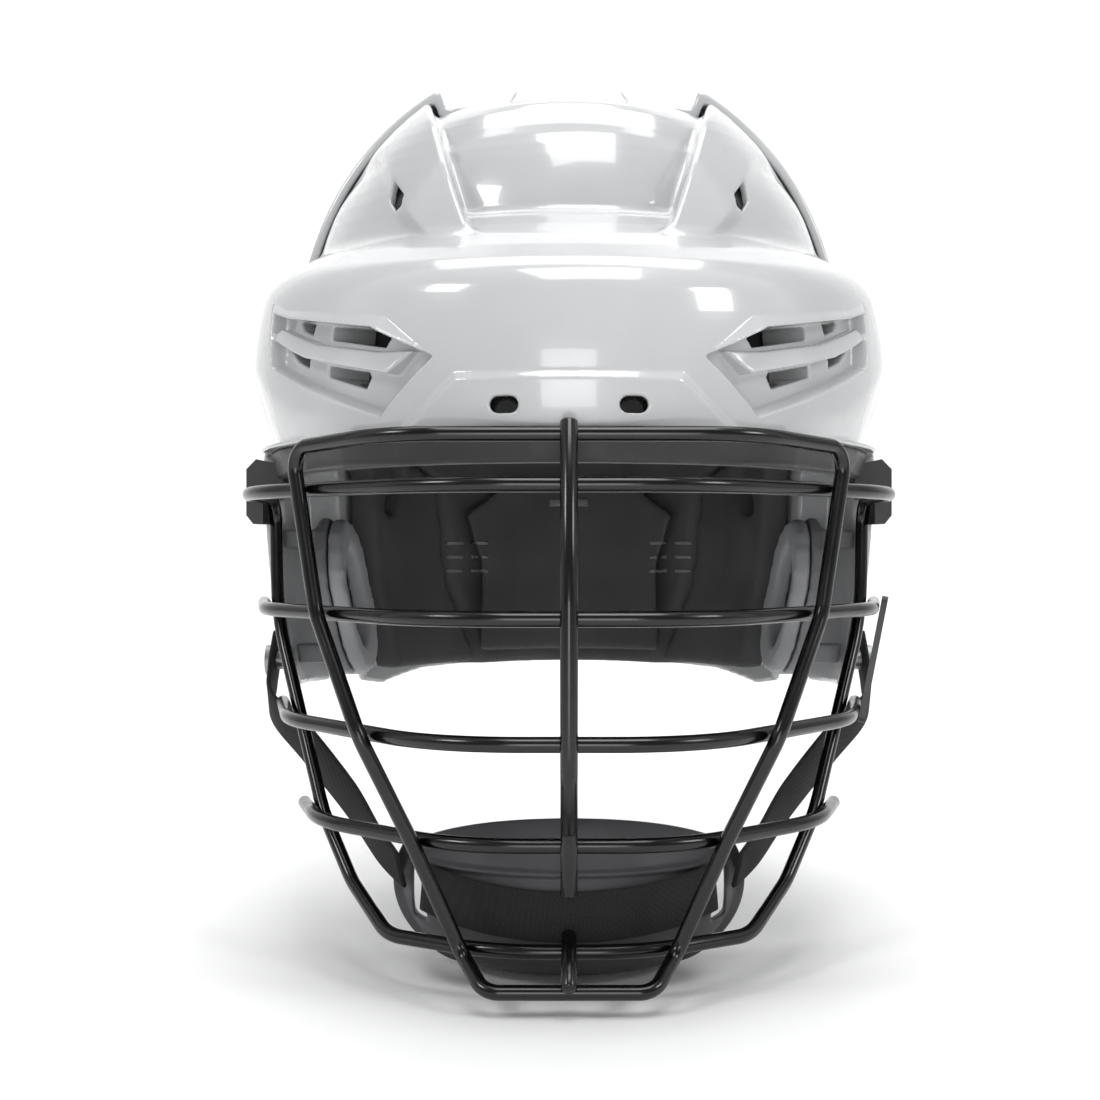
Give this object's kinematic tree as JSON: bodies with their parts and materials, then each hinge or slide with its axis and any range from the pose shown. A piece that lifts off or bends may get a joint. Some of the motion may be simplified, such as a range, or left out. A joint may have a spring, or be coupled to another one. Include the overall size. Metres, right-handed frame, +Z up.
{
  "type": "lacrosse helmet",
  "caption": "Sports helmet with louvred brow vents, a welded wire face guard hooked in side clips, a sliding rear shell with side locks and a strapped chin cup",
  "frame": {"origin": "midway between the ears, at the level of the ear canals", "axes": "+X to the right seen from the front, the face looks along -Y, +Z up"},
  "size_m": [0.2268, 0.2871, 0.2971],
  "materials": {
    "shell": "satin",
    "dark": "satin",
    "foam": "matt",
    "pad": "woven",
    "grey": "matt",
    "wire": "gloss",
    "steel": "plain",
    "webbing": "woven",
    "cup": "matt"
  },
  "bodies": {
    "front": {"brow_pad": "pad", "brow_trim": "dark", "cage_centre_bar": "wire", "cage_chin_bar": "wire", "cage_clip_left": "dark", "cage_clip_right": "dark", "cage_eye_bar": "wire", "cage_front_loop": "wire", "cage_mouth_bar": "wire", "cage_name_plate": "steel", "cage_nose_bar": "wire", "cage_outer_loop": "wire", "clip_screws": "steel", "ear_guard_left": "grey", "ear_guard_right": "grey", "ear_pad_left": "pad", "ear_pad_right": "pad", "front_liner": "foam", "front_shell": "shell", "lock_pins": "steel", "lock_stud_left": "dark", "lock_stud_right": "dark", "snap_studs": "steel"},
    "rear": {"occipital_pad": "pad", "rear_liner": "foam", "rear_shell": "shell"},
    "chin": {"chin_cup_pad": "pad", "chin_cup_shell": "cup", "chin_strap_front": "webbing", "chin_strap_left": "webbing", "chin_strap_right": "webbing", "snap_cap_left": "steel", "snap_cap_right": "steel"},
    "lever_left": {"lock_lever_left": "dark"},
    "lever_right": {"lock_lever_right": "dark"}
  },
  "joints": [
    {"name": "size_slide", "type": "slide", "parent": "front", "child": "rear", "axis": [0, 1, 0], "range_m": [0, 0.015]},
    {"name": "lock_left_hinge", "type": "hinge", "parent": "front", "child": "lever_left", "pos_m": [-0.1078, 0.026, 0.066], "axis": [0, 0, 1], "range_deg": [0, 100]},
    {"name": "lock_right_hinge", "type": "hinge", "parent": "front", "child": "lever_right", "pos_m": [0.1078, 0.026, 0.066], "axis": [0, 0, -1], "range_deg": [0, 100]},
    {"name": "chin_strap_swing", "type": "hinge", "parent": "front", "child": "chin", "pos_m": [0, 0.008, -0.04], "axis": [1, 0, 0], "range_deg": [0, 25]}
  ]
}
